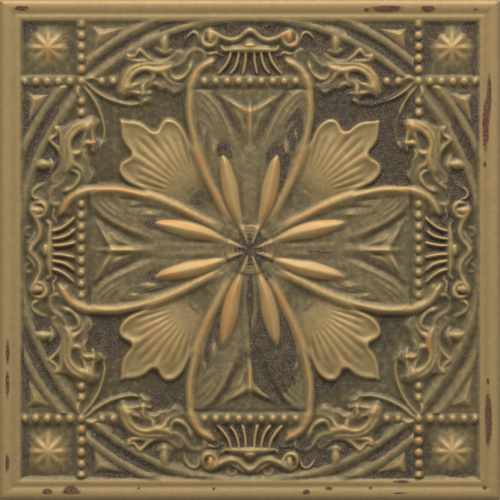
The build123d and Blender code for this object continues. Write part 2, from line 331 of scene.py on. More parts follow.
def draw_petal(face):
    """Fan petal on the diagonal, with its furrows, rolled lip and the eye at its foot."""
    face.level(petal_outline(), petal_ground, 1.0)

    # Ribs that fan out from the foot, rounded on top and parted by sharp furrows
    foot = 25.0
    dx, dy = face.x - foot, face.y - foot
    reach = np.hypot(dx, dy)
    turn = np.abs(np.degrees(np.arctan2(dy, dx)) - 45)
    at = np.nonzero((reach > 5) & (reach < 31) & (dx + dy > 0))[0]
    count = turn[at] / (7.4 + 47 / reach[at])
    end = np.interp(turn[at], [0, 10, 20, 30, 40], [28, 25, 21.5, 21, 20.5])
    reach = reach[at]
    strength = 0.5 * ease((reach - 5) / 6) * ease((end - reach) / 3 + 0.5) * ease((4.8 - count) / 0.6)
    face.z[at] += strength * (np.abs(np.sin(math.pi * count)) ** 1.3 - 0.55)

    # Rolled lip, with a hill where its lobes meet
    sizes = np.interp(range(len(PETAL_LIP)), [0, 2, 4, 9, 10, 17], [0.15, 0.55, 0.75, 0.75, 0.7, 0.6])
    face.add([(x, y, 0.95, size) for (x, y), size in zip(PETAL_LIP, sizes)], 0.9, 1.3)
    face.mound(37.1, 46.2, 1.5, 0.6, 1.3, 60)
    face.mound(36.3, 44.6, 1.8, 0.35, 1.3, 60)
    face.mound(31.6, 48.4, 2.2, -0.2, 1.2, 60)

    # Eye: low boss at the foot with a thin crescent and a furrow on its outer side
    face.mound(19.5, 20.0, 2.4, 0.14)
    for away, width, height in ((4.2, 0.6, 0.22), (5.3, 0.7, -0.22)):
        arc = []
        for t in range(10, 81, 10):
            arc += spoke(19.6, t, [(away, width, height * ease((t - 10) / 20) * ease((80 - t) / 20))])
        face.add(arc)


# Panel on the axis under the bead strip, and the furrow between it and the leaf
AXIS_PANEL = [
    (-3, 41), (2.2, 41), (5.6, 47), (9.6, 54.6), (12.6, 59.6), (15, 62.6), (12, 64), (-3, 64),
]
PANEL_FURROW = [
    (2.2, 37, 0.9, -0.1), (3.4, 41, 1.1, -0.4), (5.1, 46, 1.2, -0.35), (7, 50.2, 1.2, -0.45),
    (9.1, 54.4, 1.2, -0.45), (11.4, 58.2, 1.2, -0.4), (13.8, 61.2, 1.3, -0.55), (16.4, 63, 1, -0.3),
    (18.6, 64, 0.8, -0.1),
]
# Veins of the leaf: points, width and height
VEINS = [
    ([(5.2, 40), (7.6, 46.4), (10.4, 52.6), (13.2, 57.2), (16.4, 60.8), (20.5, 63.5)], 0.9, 0.25),
    ([(12, 50), (14.6, 54.4), (17.2, 58.2), (20.6, 61.5)], 0.7, 0.25),
    ([(14, 51), (16.4, 54.2), (18.6, 56.8), (20.8, 58.6)], 0.6, 0.2),
    ([(13.8, 46.6), (16.6, 49.6), (19, 51.6), (21.2, 53)], 0.6, 0.15),
    ([(14, 37.6), (14.4, 40), (14.3, 42.8)], 0.8, 0.4),
    ([(18, 44.6), (18.2, 46.2), (17.9, 48)], 0.6, 0.3),
]
# Hollows of the leaf
LEAF_FOLDS = [
    ([(16.2, 34, 0.7, -0.1), (16.9, 39, 0.8, -0.3), (17.2, 44, 0.8, -0.3), (16.8, 47, 0.6, -0.1)],),
    ([(19.6, 42, 0.7, -0.1), (20.4, 46, 0.8, -0.3), (20.6, 50, 0.8, -0.25), (20.4, 53, 0.6, -0.1)],),
    ([(7, 35, 1, -0.15), (8.6, 38.4, 1.1, -0.35), (11.2, 40, 1.1, -0.3), (12.6, 37.4, 1, -0.25),
      (13.6, 34, 0.9, -0.1)],),
    # Three-ridged peak on the axis, with the small leaves at its foot
    ([(0, 37, 1.4, 0.05), (0, 40, 1.5, 0.4), (0, 44, 1.6, 1), (0, 48, 1.6, 1.1), (0, 52, 1.4, 1.1),
      (0, 55, 1.3, 1.3), (0, 56.6, 1, 0.9), (0, 58.6, 0.8, 0.5), (0, 61, 0.7, 0.1)],),
    ([(0, 46, 0.7, 0.1), (0, 50, 0.8, 0.75), (0, 54.6, 0.9, 1.2), (0, 55.6, 0.9, 0.9), (0, 57, 0.7, 0.1)],),
    ([(-1, 55.2, 1.2, 0.5), (1.6, 55.8, 1.2, 0.7), (3.6, 56.9, 1.15, 1), (6, 58.2, 1.15, 1.15),
      (9, 59.9, 1, 0.6), (11.4, 61.1, 0.9, 0.3), (13.2, 61.9, 0.7, 0.1)], 0.8, 1.2),
    (3.6, 54.2, 2.6, 0.75, 1.2, 30),
    ([(1.9, 46.4, 0.8, 0.15), (2.8, 49.4, 0.8, 0.6), (3.8, 52.4, 0.8, 0.45), (5.2, 54.4, 0.8, 0.3),
      (7, 56, 0.7, 0.05)],),
]
# Long soft folds beside the axis
LONG_FOLDS = [
    ([(1.2, 12, 0.6, 0.05), (1.4, 20, 0.7, 0.15), (1.6, 30, 0.8, 0.15), (1.8, 38, 0.7, 0.05)],),
    ([(2.6, 13, 0.5, -0.05), (3, 20, 0.6, -0.18), (3.6, 28, 0.7, -0.18), (3.8, 37, 0.7, -0.1)],),
    ([(11.6, 22, 0.5, -0.05), (13.6, 28, 0.6, -0.15), (15.2, 33, 0.6, -0.15), (16, 37, 0.6, -0.1)],),
]


def stem_points(widths, heights):
    """The stem's points with a width and a height, each given at some of them as number: value."""
    spots = range(len(STEM))
    wide = np.interp(spots, list(widths), list(widths.values()))
    high = np.interp(spots, list(heights), list(heights.values()))
    return [(x, y, w, h) for (x, y), w, h in zip(STEM, wide, high)]


def draw_centre(face):
    """Lance leaves, stems and the leaves behind them, with the hub they spring from."""
    leaf = [(-3, 5), (5, 6)] + STEM[:14] + [(22.6, 63.6), (19, 63.9), (15, 63.4), (3, 54), (-3, 54)]
    face.level(leaf, leaf_ground, 0.7, smooth=False)
    face.level(AXIS_PANEL, 0.45, 1.4, smooth=False)
    face.add(PANEL_FURROW)
    for path, width, height in VEINS:
        ends = (0, len(path) - 1)
        face.add([(x, y, width, height * (0.5 if n in ends else 1.5)) for n, (x, y) in enumerate(path)])
    face.shapes(LEAF_FOLDS, face.add)

    # Fine folds side by side along the stem
    for n in range(5):
        fold = [(x - 2.6 - 1.5 * n, y - 0.5 * n) for x, y in STEM[5:14]]
        face.add([(x, y, 0.5, 0.2 * math.sin(math.pi * k / 8)) for k, (x, y) in enumerate(fold)])
    face.shapes(LONG_FOLDS, face.add)
    draw_hub(face)

    # Lance leaf beside the axis, rounded across and keeled along its crest
    line = smooth_line(LANCE)
    at = face.near(line, 4.5)
    gap, _, values = face.along(line, at)
    t = gap / np.maximum(values[:, 0], 0.3)
    foot = 0.75
    face.raise_to(at, foot + (values[:, 1] - foot) * (1 - 0.45 * t**2 - 0.55 * t), 0.2)

    # Stem, whose sharp crest hooks over at the bead strip, and its wide skirt on the outer side
    rise = {0: 0.35, 2: 0.8, 3: 1.05, 5: 1.35, 15: 1.4, 16: 1.4, 18: 1.5, 20: 1.2, 21: 0.9, 22: 0.3}
    face.add(stem_points({0: 1, 3: 1.2, 8: 1.45, 17: 1.55}, rise))
    skirt = {0: 0.2, 3: 0.6, 14: 0.6, 17: 0.6, 20: 0.4, 22: 0.1}
    face.add(stem_points({0: 1.6, 14: 1.6, 17: 2.2}, skirt), 1.9, 1.0)


def draw_hub(face):
    """Low disc with eight soft spokes, barred webs on the axes and plain webs between them."""
    radius = np.hypot(face.x, face.y)
    at = np.nonzero(radius < 14)[0]
    r = radius[at]
    turn = np.degrees(np.arctan2(face.x, face.y))[at]
    disc = 0.95 - 0.3 * ease((2.5 - r) / 2.5)
    face.z[at] = disc + (face.z[at] - disc) * ease((r - 8.8) / 2.2)
    face.z[at] -= 0.12 * bell((r - 10.3) / 0.7)
    for ring in (5.3, 6.7, 8.1, 9.3):
        face.z[at] += 0.34 * bell((r - ring) / 0.42) * ease((17 - turn) / 6)
    for ring in (2.6, 3.8, 5.0, 6.6, 8.2):
        face.z[at] += 0.16 * bell((r - ring) / 0.45) * ease((turn - 26) / 8)
    face.add([(0.5, 1.2, 0.5, 0.1), (1.2, 3, 0.75, 0.55), (2.2, 6, 0.85, 0.75), (3, 8.4, 0.95, 0.85),
              (3.3, 9.4, 0.9, 0.4), (3.6, 10.4, 0.8, 0)])
    face.add([(0.9, 1.2, 0.35, -0.1), (2.3, 3.4, 0.5, -0.25), (3.9, 6.6, 0.6, -0.3), (5.4, 9.8, 0.7, -0.25),
              (6.4, 12, 0.7, -0.1)])


# Rays of the shell, its cross bar with the block above, and the wave with its volute
CREST = [
    ([(1.7, 79.4, 0.85, 1.6), (1.75, 77, 0.85, 1.55), (1.9, 75, 0.85, 1.5), (2.7, 71, 0.8, 1.3),
      (3.2, 69.8, 0.6, 0.6)], -0.2),
    ([(4.3, 79.2, 0.8, 1.5), (4.6, 77.4, 0.85, 1.5), (5.1, 75, 0.9, 1.5), (6.1, 72.6, 0.9, 1.45),
      (7.5, 70.8, 0.85, 1.2), (8.4, 69.8, 0.6, 0.6)], -0.2),
    ([(7.6, 79.2, 0.8, 1.4), (7.9, 77.6, 0.85, 1.5), (8.8, 75.2, 0.9, 1.5), (10.4, 72.8, 0.9, 1.4),
      (12.2, 70.8, 0.85, 1.1), (13.2, 69.8, 0.6, 0.5)], -0.2),
    # Cross bar and the block above it
    ([(-2, 80, 1.6, 2.1), (0, 80.1, 1.7, 2.2), (1.7, 80, 1.6, 2.1), (4, 79.9, 1.5, 1.65), (6, 79.9, 1.5, 1.7),
      (8, 79.8, 1.3, 1.45), (9.6, 79.6, 1.1, 1.15), (10.6, 80, 1, 1.1), (11.3, 80.9, 0.9, 0.8),
      (11.9, 81.9, 0.7, 0.3)], 0),
    ([(-1.2, 81.5, 0.9, 2.2), (0, 81.5, 0.95, 2.25), (1.4, 81.5, 0.9, 2.1)], 0.2),
    (0, 82.8, 1.8, 0.9, 1.3, 0),
    (7, 82, 1, 0.35),
    (4.2, 82, 1.6, 0.35),
    ([(10.6, 77.6, 0.6, 0.35), (11.8, 77.5, 0.6, 0.5), (12.9, 78.5, 0.65, 0.7), (14.2, 78.6, 0.7, 0.75),
      (15.6, 78.2, 0.9, 0.9), (17, 78.2, 0.8, 0.8)], -0.1),
    # Wave that runs out into the volute
    ([(-1.6, 87, 1.4, 1.7), (0, 87.6, 1.45, 1.95), (1.6, 86.9, 1.4, 1.7), (3.2, 85.5, 1.35, 1.5),
      (5, 84.3, 1.4, 1.55), (7.2, 83.7, 1.45, 1.65), (9.4, 84.1, 1.4, 1.6), (11.2, 84.8, 1.35, 1.7),
      (12.7, 85.6, 1.25, 1.95), (14.3, 86.5, 1.3, 1.9), (16, 87.2, 1.3, 1.8), (17.6, 86.9, 1.1, 1.2),
      (18.6, 86, 0.9, 1)], 0.2),
    ([(12.9, 85, 1.3, 1.9), (13.4, 83.4, 1.25, 1.6), (14.5, 82, 1.25, 1.6), (16.2, 81.4, 1.3, 1.85),
      (17.7, 81.8, 1.35, 2.1), (18.7, 82.9, 1.3, 1.85), (18.9, 84.2, 1.2, 1.6), (18.5, 85.6, 1.1, 1.2)], 0.2),
    ([(15.8, 83.6, 1.4, 2.1), (15.8, 84.8, 1.6, 2.65), (15.9, 86.2, 1.5, 2.4)], 0.4),
    (14.2, 85.4, 1.1, 0.5),
]
CREST_CURLS = [
    ([(2.6, 88.6, 0.6, 0.9), (3.8, 87.6, 0.65, 1), (5.6, 86.3, 0.7, 1), (7.2, 85.7, 0.6, 0.8)], 0.2),
    ([(5.5, 88, 0.6, 0.5), (6.2, 89.4, 0.7, 0.7), (7.6, 89.9, 0.7, 0.75), (8.8, 89, 0.7, 0.65),
      (8.8, 87.4, 0.6, 0.4)], 0.1),
]
VOLUTE_FURROW = [
    (16.9, 83, 0.4, -0.25), (17.4, 84.2, 0.4, -0.35), (17.2, 85.6, 0.4, -0.25), (16.6, 86.6, 0.4, -0.1),
]
HOOK_LEAF = [
    (20.6, 82), (20.4, 85.4), (22, 87), (24.4, 86.2), (26.4, 82.4), (26.6, 80.6), (22, 80.8),
]
HOOK_EDGE = [
    (20.3, 82.6, 0.8, 0.8), (20.4, 84.4, 0.85, 1.15), (20.8, 85.9, 0.9, 1.35), (21.8, 86.8, 0.95, 1.3),
    (23, 86.8, 0.95, 1.25), (24.2, 86, 0.95, 1.25), (25.3, 84.5, 0.9, 1), (26.1, 82.8, 0.8, 0.65),
    (26.7, 80.8, 0.6, 0.3),
]


def draw_crest(face):
    """Ornament on the axis between the bead strip and the rim, with its volutes and the hook leaf."""
    hollow = [(-14, 70), (13, 70), (14.6, 74.4), (11.4, 78.6), (-11, 78.6)]
    face.level(hollow, -0.15, 1.0, smooth=False)
    face.shapes(CREST, face.ridge)
    face.add(VOLUTE_FURROW)
    face.shapes(CREST_CURLS, face.ridge)
    face.level(HOOK_LEAF, lambda x, y: 0.45 - 0.1 * (x - 22) + 0.05 * (y - 83), 0.8)
    face.ridge(HOOK_EDGE, 0.1)


# Low ground inside the lobes, higher under the trunk and the upper leaf
ACANTHUS_GROUND = [
    ([(18.2, 76), (18.2, 79), (21, 80), (24.8, 78.6), (26.6, 75), (29.6, 73), (30.8, 70), (28.8, 68),
      (25.6, 69.8), (23.6, 73), (21, 74.6)], 0.4, 0.7),
    ([(27, 76), (28, 78.8), (30.4, 77.8), (34, 75.6), (34, 73.6), (30, 73.6)], 0.6, 0.6),
    ([(31, 73.6), (34, 75), (37.6, 75.2), (40.6, 77), (43.8, 80.2), (46, 77.8), (49.6, 78.6), (49.2, 74.4),
      (51.6, 69), (52, 62.8), (49, 61.6), (46, 62), (43, 58.6), (39.8, 60.2), (41, 63.4), (38.8, 66),
      (35, 64.6), (31.2, 63.2), (27, 64.4), (26.6, 66), (31.6, 67), (33, 70.4)], 0.95, 0.8),
    ([(33.6, 73.2), (38, 74.6), (44, 73.8), (48.6, 71), (51.2, 66), (51, 63), (48, 65), (46, 69.6),
      (42, 71.4), (38, 71), (34.6, 70.4)], 1.35, 0.7),
]
# Edges, folds and hollows of the spray
ACANTHUS = [
    ([(19, 74.8, 1.02, 0.6), (18.1, 76.6, 1.22, 1.04), (18.1, 78.2, 1.22, 1.04), (19.4, 79.5, 1.22, 0.9),
      (21.3, 79.8, 1.22, 0.8), (23.3, 79.3, 1.22, 0.85), (24.8, 78.2, 1.22, 1.04), (25.7, 76.7, 1.22, 1.12),
      (26.8, 75.2, 1.15, 1.04), (28.4, 74, 1.15, 1), (30.4, 73.2, 1.15, 1.16),
      (32.4, 72.6, 1.28, 1.66)], 0.1),
    ([(23.4, 74.8, 1.02, 0.8), (23.8, 73.2, 1.28, 1.49), (24.4, 71.6, 1.22, 1.45), (25.4, 70.2, 1.22, 1.41),
      (26.8, 69, 1.28, 1.61), (28.4, 68.2, 1.28, 1.61), (29.9, 68.2, 1.28, 1.49), (31.1, 69.2, 1.22, 1.37),
      (31.7, 70.6, 1.15, 1.25), (31.6, 72, 1.09, 1.33)], 0.1),
    # Second lobe and the upper leaf
    ([(26.9, 76.6, 1.02, 0.8), (27.2, 78, 1.09, 0.95), (28.3, 78.8, 1.09, 0.8), (29.8, 77.9, 1.09, 0.85),
      (31.5, 76.5, 1.15, 0.95), (33.5, 75.4, 1.15, 1.12), (36, 75, 1.15, 1.21), (38.2, 75.4, 1.15, 1.29),
      (40, 76.4, 1.22, 1.49), (41.6, 77.6, 1.22, 1.53), (42.8, 78.9, 1.22, 1.66), (43.9, 79.9, 1.22, 1.82),
      (44.8, 78.9, 1.22, 1.82), (45.7, 77.7, 1.15, 1.61), (47, 77.1, 1.15, 1.61), (48.5, 77.3, 1.41, 1.9),
      (49.3, 78.2, 1.02, 1.33)], 0.1),
    ([(40, 75.4, 0.9, 1.25), (42.2, 75.4, 1.02, 1.41), (44.4, 75.4, 1.02, 1.49), (46.6, 75.5, 1.02, 1.53),
      (48.4, 76.4, 1.15, 1.74)], 0.6),
    (43.8, 77.1, 1.1, -0.3, 1.3, 0),
    # Trunk: outer fold, sharp inner fold and the heavy end
    ([(31.4, 74.4, 0.9, 1.16), (34, 74.2, 1.02, 1.41), (38, 74.1, 1.09, 1.57), (42, 74.1, 1.09, 1.61),
      (45, 73.3, 1.15, 1.82), (47.6, 71.7, 1.22, 1.9), (49.5, 69.3, 1.28, 2.07), (50.8, 66.2, 1.28, 1.82),
      (51.3, 63.2, 1.15, 1.74)], 0.6),
    ([(31.2, 73.5, 1.02, 1.49), (33, 72.4, 1.54, 2.15), (34.8, 71.8, 1.66, 2.48), (36.6, 71.5, 1.54, 2.56),
      (38.6, 71.7, 1.41, 2.48), (41, 72.3, 1.28, 2.23), (43.4, 72.1, 1.28, 2.23), (45.8, 70.8, 1.34, 2.31),
      (47.8, 68.8, 1.41, 2.31), (49, 66.6, 1.66, 2.48), (49.6, 64.8, 1.92, 2.89), (50.3, 62.8, 1.41, 2.07),
      (50.8, 61.6, 0.9, 1.16)], 0.6),
    (47.6, 65, 1.2, 0.9, 1.3, 0),
    # Branch down to the left, and the scalloped lower edge
    ([(35.2, 71, 1.41, 2.31), (34.2, 70, 1.41, 2.15), (33.4, 68.6, 1.28, 1.66), (32.4, 67.4, 1.22, 1.41),
      (30.8, 66.5, 1.22, 1.29), (28.8, 66.1, 1.15, 1), (27, 65.7, 1.02, 0.6)], 0.3),
    ([(27, 64.6, 0.9, 0.7), (28.4, 63.9, 1.02, 1.04), (30, 63.3, 1.15, 1.21), (31.6, 64, 1.02, 1.08),
      (33.2, 65, 1.02, 1), (35.4, 64.9, 1.02, 1.08), (36.8, 66, 1.15, 1.41), (38.4, 66.5, 1.22, 1.49),
      (39.8, 65.8, 1.02, 1.29)], 0.3),
    (36, 68.4, 1.6, -0.15),
    # Hollow of the trunk with its left rim, and the leaflets below it
    (43.6, 69.2, 1.9, -0.45, 1.7, -18),
    ([(39.2, 71.6, 1.15, 2.07), (38.5, 70.2, 1.15, 1.9), (38.7, 68.6, 1.15, 1.82), (39.8, 67.2, 1.02, 1.41),
      (41.2, 66.9, 1.02, 1.25)], 0.6),
    ([(40.8, 67.6, 0.9, 1.16), (42, 66.4, 1.02, 1.49), (42.8, 65, 1.15, 1.9), (42.6, 63.6, 1.15, 1.9),
      (42.8, 62.4, 1.28, 2.15), (43.4, 61.4, 0.9, 1.25)], 0.5),
    ([(42.6, 67.3, 0.9, 1.16), (44.6, 66.2, 1.02, 1.41), (46.6, 65.6, 1.15, 1.74)], 0.5),
    ([(43.2, 62.5, 1.02, 1.66), (44.6, 62.6, 1.02, 1.57), (46.2, 62.9, 1.02, 1.53), (47.8, 63.2, 1.15, 1.66),
      (49.4, 62.8, 1.15, 1.74)], 0.4),
    ([(40, 62.7, 0.9, 1.16), (41.2, 62.5, 1.02, 1.41), (42.6, 62.3, 1.02, 1.74)], 0.3),
    ([(39.8, 60, 0.9, 0.6), (41.4, 59.9, 1.15, 1.25), (42.6, 59.3, 1.15, 1.25),
      (43.4, 58.2, 1.02, 0.9)], 0.2),
    # Blossom: urn with a bright core, two arms above and a flare below
    ([(33, 87, 1.31, 0.9), (33.3, 85.6, 1.47, 1.41), (33.9, 84.4, 1.88, 1.98), (34.2, 82.8, 2.05, 2.35),
      (34.1, 81.2, 1.8, 2.07), (34, 79.8, 1.56, 1.66)], 0.1),
    ([(34.2, 84.8, 1.31, 1.49), (35.2, 85.4, 1.47, 1.29), (36.4, 85.9, 1.15, 0.7)], 0.1),
    ([(31.4, 79.6, 1.15, 0.8), (32.8, 79.2, 1.4, 1.33), (34.2, 79, 1.64, 1.66), (35.6, 79.5, 1.47, 1.41),
      (37.2, 80.2, 1.15, 0.7)], 0.1),
]


def draw_acanthus(face):
    """Leaf spray that grows across the bead strip from the hook of the stem."""
    face.shapes(ACANTHUS_GROUND, face.level)
    face.shapes(ACANTHUS, face.ridge)


TENDRIL = [
    (66, 67.2, 0.86, 1.4), (64, 65.4, 0.94, 1.2), (62, 63.6, 0.98, 1.15), (58, 61.1, 0.94, 1.1),
    (54.2, 59.5, 0.9, 0.95), (51, 58.6, 0.86, 0.9), (48, 58, 0.78, 0.8), (45.4, 58.2, 0.7, 0.8),
    (43.2, 58.8, 0.62, 0.8),
]


def draw_face(face):
    draw_frame(face)
    draw_spandrel(face)
    draw_corner_star(face)
    draw_petal(face)
    draw_centre(face)
    draw_crest(face)
    face.ridge(TENDRIL, 0.05)
    draw_beads(face)
    draw_acanthus(face)
    # The tallest crests are rounded off, as pressing and glaze leave them
    soft_from, squash, tallest = 1.8, 0.64, 2.88
    face.z = np.where(face.z > soft_from, soft_from + (face.z - soft_from) * squash, face.z)
    face.z = np.minimum(face.z, tallest)


# Height of the relief's ground above the back
GROUND = 7.0
# The field of one octant is drawn on a grid and thinned, and the rows of the rim go on from there
FIELD = 90.0
STEP = 0.25
TRIANGLES = 17300
ON_SIDE = 0.02
RIM_START = 90.5
RIM_END = 97.6
RIM_STEP = 0.45
CORNER_ROUNDING = 1.1
# The moulding's corners are sharp inwards and rounded outwards, above this height
SHARP_ABOVE = 6
# Limits of the marks and of the fine normals, from the middle
ORNAMENT_END = 91.5
FINE_END = 97.0
MARKS_END = 97.7
MARKS_ABOVE = 5


def soften(values, sigma):
    """Gaussian blur over a quarter that goes on as its own mirror image past x = 0 and y = 0."""
    reach = int(3 * sigma + 0.999)
    tap = np.exp(-0.5 * (np.arange(-reach, reach + 1) / sigma) ** 2)
    tap /= tap.sum()
    for _ in range(2):
        padded = np.pad(values, ((reach, reach), (0, 0)), mode="reflect")
        values = sum(w * padded[i : i + len(values)] for i, w in enumerate(tap)).T
    return values


def quarter_heights():
    """Height field on a grid over one quarter, x along the first index, out to the tile's edge."""
    ticks = np.arange(int(HALF_SIDE / STEP) + 1) * STEP
    gx, gy = np.meshgrid(ticks, ticks, indexing="ij")
    octant = gy >= gx
    face = Relief(gx[octant], gy[octant])
    draw_face(face)
    z = np.zeros_like(gx)
    z[octant] = face.z
    return soften(np.where(octant, z, z.T), 0.9)


def sample(grid, x, y):
    """Bilinear reading of a quarter's grid at |x|, |y|."""
    u = np.clip(np.abs(x) / STEP, 0, grid.shape[0] - 1.001)
    v = np.clip(np.abs(y) / STEP, 0, grid.shape[1] - 1.001)
    i, j = u.astype(int), v.astype(int)
    u, v = u - i, v - j
    return (
        grid[i, j] * (1 - u) * (1 - v) + grid[i + 1, j] * u * (1 - v)
        + grid[i, j + 1] * (1 - u) * v + grid[i + 1, j + 1] * u * v
    )


def read(items, name, width=1, kind=float):
    """One measure of all vertices, loops or faces."""
    out = np.empty(len(items) * width, kind)
    items.foreach_get(name, out)
    return out.reshape(-1, width) if width > 1 else out


def thinned(verts, faces, ratio):
    """The same surface with fewer triangles, more of them where it bends."""
    mesh = bpy.data.meshes.new("octant")
    mesh.from_pydata(verts.tolist(), [], faces.tolist())
    work = bpy.data.objects.new("octant", mesh)
    bpy.context.scene.collection.objects.link(work)
    work.modifiers.new("thin", "DECIMATE").ratio = ratio
    shown = work.evaluated_get(bpy.context.evaluated_depsgraph_get())
    result = bpy.data.meshes.new_from_object(shown)
    bpy.data.objects.remove(work)
    return read(result.vertices, "co", 3), np.array([tuple(p.vertices) for p in result.polygons])


def octant_field(z):
    """Triangles of the ornamented field in one octant, and the points of its outer side in order."""
    count = int(FIELD / STEP) + 1
    i, j = np.meshgrid(np.arange(count), np.arange(count), indexing="ij")
    keep = j >= i
    number = np.full(i.shape, -1)
    number[keep] = np.arange(keep.sum())
    verts = np.column_stack([i[keep] * STEP, j[keep] * STEP, z[:count, :count][keep]])
    a, b = number[:-1, :-1], number[1:, :-1]
    c, d = number[1:, 1:], number[:-1, 1:]
    lower = (a >= 0) & (b >= 0)
    upper = (a >= 0) & (c >= 0) & (d >= 0)
    faces = np.vstack([
        np.column_stack([a[lower], b[lower], c[lower]]),
        np.column_stack([a[upper], c[upper], d[upper]]),
    ])
    verts, faces = thinned(verts, faces, TRIANGLES / len(faces))

    # Border points go back onto the sides x = 0, y = FIELD and y = x, so that the copies meet
    pairs = np.sort(np.vstack([faces[:, [0, 1]], faces[:, [1, 2]], faces[:, [2, 0]]]), axis=1)
    pairs, uses = np.unique(pairs, axis=0, return_counts=True)
    border = np.unique(pairs[uses == 1])
    xy = verts[border, :2]
    xy[np.abs(xy) < ON_SIDE] = 0
    xy[np.abs(xy - FIELD) < ON_SIDE] = FIELD
    diagonal = np.abs(xy[:, 1] - xy[:, 0]) < ON_SIDE
    xy[diagonal] = xy[diagonal].mean(1, keepdims=True)
    verts[border, :2] = xy
    outer = border[xy[:, 1] == FIELD]
    return verts, faces, outer[np.argsort(verts[outer, 0])]


def zipper(verts, inner, outer):
    """Triangles between two rows of points that both run along x."""
    steps = []
    for side, row in enumerate((inner, outer)):
        steps += [(verts[row[k]][0] / verts[row[-1]][0], side, k) for k in range(1, len(row))]
    faces = []
    i = j = 0
    for _, side, k in sorted(steps):
        if side == 0:
            faces.append((inner[i], inner[k], outer[j]))
            i = k
        else:
            faces.append((inner[i], outer[k], outer[j]))
            j = k
    return faces


# Section of the outer edge: distance from the middle and height above the back
EDGE_LOOPS = [
    (97.9, 8.68), (98.3, 8.59), (98.7, 8.46), (99.05, 8.27), (99.4, 7.98), (99.68, 7.58), (99.86, 7.12),
    (99.96, 6.6), (100, 6), (100, 5), (100, 4), (99.96, 3), (99.92, 2), (99.88, 1.2), (99.8, 0.75),
    (99.62, 0.4), (99.42, 0.15), (99.2, 0),
]


def octant_rim(z):
    """Rows of points over the moulding of the rim, round the outer edge and down to the back."""
    loops = []
    for r in np.arange(RIM_START, RIM_END, RIM_STEP):
        loops.append((r, GROUND + float(sample(z, np.array([0.0]), np.array([r]))[0])))
    # Places along a row as shares of it, close together at the rounded corner
    along = np.concatenate([np.linspace(0, 0.985, 92), [0.9885, 0.992, 0.9955, 1.0]])
    rows = []
    for r, height in loops + EDGE_LOOPS:
        rounding = CORNER_ROUNDING
        if height >= SHARP_ABOVE:
            rounding = np.interp(r, [97.5, HALF_SIDE], [0.01, CORNER_ROUNDING])
        start = r - rounding
        x = along * r
        bend = np.clip((x - start) / rounding, 0, 1) * math.pi / 4
        y = np.where(x > start, start + rounding * np.cos(bend), r)
        x = np.where(x > start, start + rounding * np.sin(bend), x)
        rows.append(np.column_stack([x, y, np.full(len(x), height)]))
    return rows


def build_front(z):
    """Points and faces of all but the back, and the points where the back joins on."""
    verts, faces, outer = octant_field(z)
    verts[:, 2] += GROUND
    rows = octant_rim(z)
    start = len(verts)
    width = len(rows[0])
    verts = np.vstack([verts] + rows)
    faces = [tuple(f) for f in faces.tolist()]
    faces += zipper(verts, outer.tolist(), list(range(start, start + width)))
    for p in range(start, len(verts) - width):
        if (p - start) % width < width - 1:
            faces.append((p, p + 1, p + width + 1, p + width))

    # Eight mirrored copies, whose shared points are then joined
    all_verts = []
    all_faces = []
    border = []
    mirrors = [(swap, sx, sy) for swap in (False, True) for sx in (1, -1) for sy in (1, -1)]
    for n, (swap, sx, sy) in enumerate(mirrors):
        copy = verts[:, [1, 0, 2]] if swap else verts.copy()
        copy[:, :2] *= (sx, sy)
        all_verts.append(copy)
        order = -1 if (sx * sy < 0) != swap else 1
        first = n * len(verts)
        all_faces += [tuple(v + first for v in f)[::order] for f in faces]
        border += range(first + len(verts) - width, first + len(verts))
    return join_points(np.vstack(all_verts), all_faces, border)


def join_points(verts, faces, border):
    _, first, place = np.unique(np.round(verts, 4), axis=0, return_index=True, return_inverse=True)
    place = place.ravel().tolist()
    joined = [tuple(dict.fromkeys(place[v] for v in f)) for f in faces]
    return verts[first], [f for f in joined if len(f) > 2], {place[v] for v in border}


# Key pockets of the back, five by five, and the section of their walls: inset, corner radius and height
POCKET_PITCH = 37.8
POCKET_SIDE = 32.8
POCKET_DEPTH = 0.8
POCKET_WALL = [(0, 2.6, 0), (0.12, 2.5, 0.16), (0.42, 2.3, POCKET_DEPTH - 0.14), (0.75, 2.0, POCKET_DEPTH)]


def rounded_square(cx, cy, half, radius):
    points = []
    for quarter, (mx, my) in enumerate(((1, 1), (-1, 1), (-1, -1), (1, -1))):
        x, y = cx + mx * (half - radius), cy + my * (half - radius)
        turns = [math.radians(90 * quarter + 22.5 * k) for k in range(5)]
        points += [(x + radius * math.cos(turn), y + radius * math.sin(turn)) for turn in turns]
    return points


def build_back(verts, border):
    """Land of the back at z = 0 with its key pockets; returns the added points and faces."""
    ring = sorted(border, key=lambda v: math.atan2(verts[v][1], verts[v][0]))
    edge_count = len(ring)
    flat = [Vector((verts[v][0], verts[v][1])) for v in ring]
    edges = [(i, (i + 1) % edge_count) for i in range(edge_count)]
    added = []
    faces = []
    centres = [(i * POCKET_PITCH, j * POCKET_PITCH) for i in range(-2, 3) for j in range(-2, 3)]
    for cx, cy in centres:
        loops = []
        for inset, radius, height in POCKET_WALL:
            points = rounded_square(cx, cy, POCKET_SIDE / 2 - inset, radius)
            size = len(points)
            first = len(verts) + len(added)
            loops.append(list(range(first, first + size)))
            added += [(x, y, height) for x, y in points]
        at = len(flat)
        flat += [Vector(added[v - len(verts)][:2]) for v in loops[0]]
        ring += loops[0]
        edges += [(at + i, at + (i + 1) % size) for i in range(size)]
        for a, b in zip(loops, loops[1:]):
            for i in range(size):
                k = (i + 1) % size
                faces.append((a[i], b[i], b[k], a[k]))
        faces.append(tuple(loops[-1][::-1]))
    _, _, cells, origins, _, _ = delaunay_2d_cdt(flat, edges, [], 0, 1e-6)
    for cell in cells:
        # A cell whose points all belong to one pocket is its opening, and stays open
        spots = [origins[v][0] for v in cell]
        owners = {(spot - edge_count) // size for spot in spots}
        if len(owners) > 1 or min(owners) < 0:
            faces.append(tuple(ring[spot] for spot in spots)[::-1])
    return added, faces


